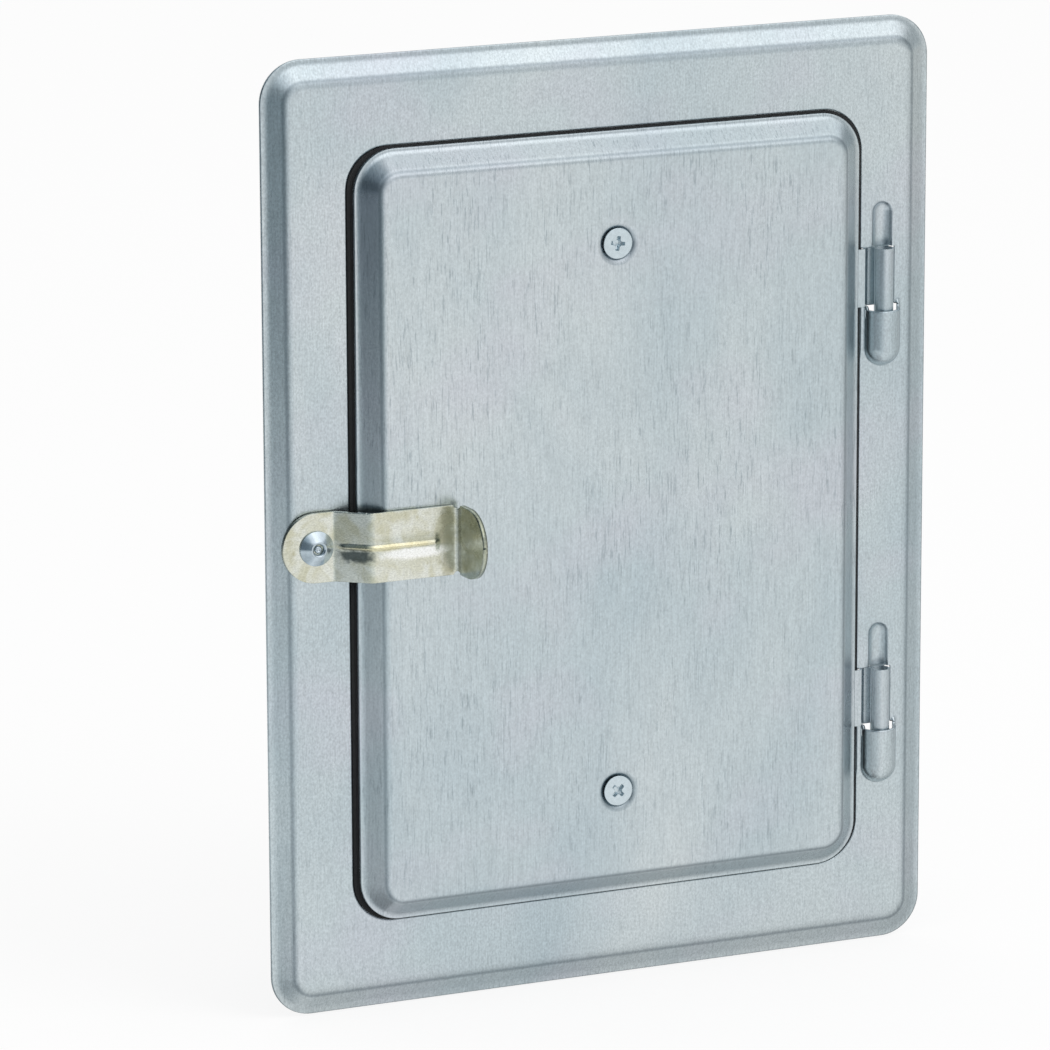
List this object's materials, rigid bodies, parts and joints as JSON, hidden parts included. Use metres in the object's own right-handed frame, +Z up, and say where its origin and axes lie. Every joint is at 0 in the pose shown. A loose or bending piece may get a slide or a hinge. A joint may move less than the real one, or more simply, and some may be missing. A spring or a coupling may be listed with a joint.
{
  "type": "chimney cleanout door",
  "caption": "Galvanised chimney cleanout door: pressed wall frame on a folded collar, insulated lift-off leaf on pin hinges, and a turning strip latch",
  "frame": {"origin": "Middle of the frame plate, on the wall plane that its back rim rests on", "axes": "+Z up, +Y into the wall, -Y out into the room, +X to the right as seen from the room"},
  "size_m": [0.205, 0.08, 0.275],
  "materials": {
    "galvanised_plate": "hot-dip galvanised sheet, faint vertical grain",
    "galvanised_leaf": "hot-dip galvanised sheet with vertical flecks",
    "galvanised_pan": "hot-dip galvanised sheet",
    "galvanised_collar": "hot-dip galvanised sheet",
    "anchor_strap": "galvanised strip",
    "rivet_steel": "bright zinc",
    "zinc_screw": "blue-white zinc",
    "pin_steel": "bright drawn wire",
    "yellow_zinc": "yellow-passivated zinc, stained",
    "seal_tape": "charcoal woven glass-fibre tape",
    "mineral_board": "pressed mineral-fibre board"
  },
  "bodies": {
    "frame": {"frame_plate": "galvanised_plate", "collar_top": "galvanised_collar", "collar_bottom": "galvanised_collar", "collar_left": "galvanised_collar", "collar_right": "galvanised_collar", "wall_anchor_upper_left": "anchor_strap", "wall_anchor_upper_right": "anchor_strap", "wall_anchor_lower_left": "anchor_strap", "wall_anchor_lower_right": "anchor_strap", "anchor_rivets": "rivet_steel", "rebate_seal": "seal_tape", "latch_washer": "rivet_steel", "latch_rivet": "rivet_steel", "rivet_mandrel": "rivet_steel"},
    "door": {"door_leaf": "galvanised_leaf", "inner_pan": "galvanised_pan", "hinge_pin_upper": "pin_steel", "hinge_pin_lower": "pin_steel", "insulation_board": "mineral_board", "leaf_screws": "zinc_screw", "screw_washers": "zinc_screw", "screw_nuts": "zinc_screw"},
    "latch": {"latch_lever": "yellow_zinc"}
  },
  "joints": [
    {"name": "door_swing", "type": "hinge", "parent": "frame", "child": "door", "pos_m": [0.0872, -0.0051, 0], "axis": [0, 0, 1], "range_deg": [0, 150]},
    {"name": "latch_turn", "type": "hinge", "parent": "frame", "child": "latch", "pos_m": [-0.0893, -0.0051, 0], "axis": [0, -1, 0], "range_deg": [-90, 90]}
  ]
}
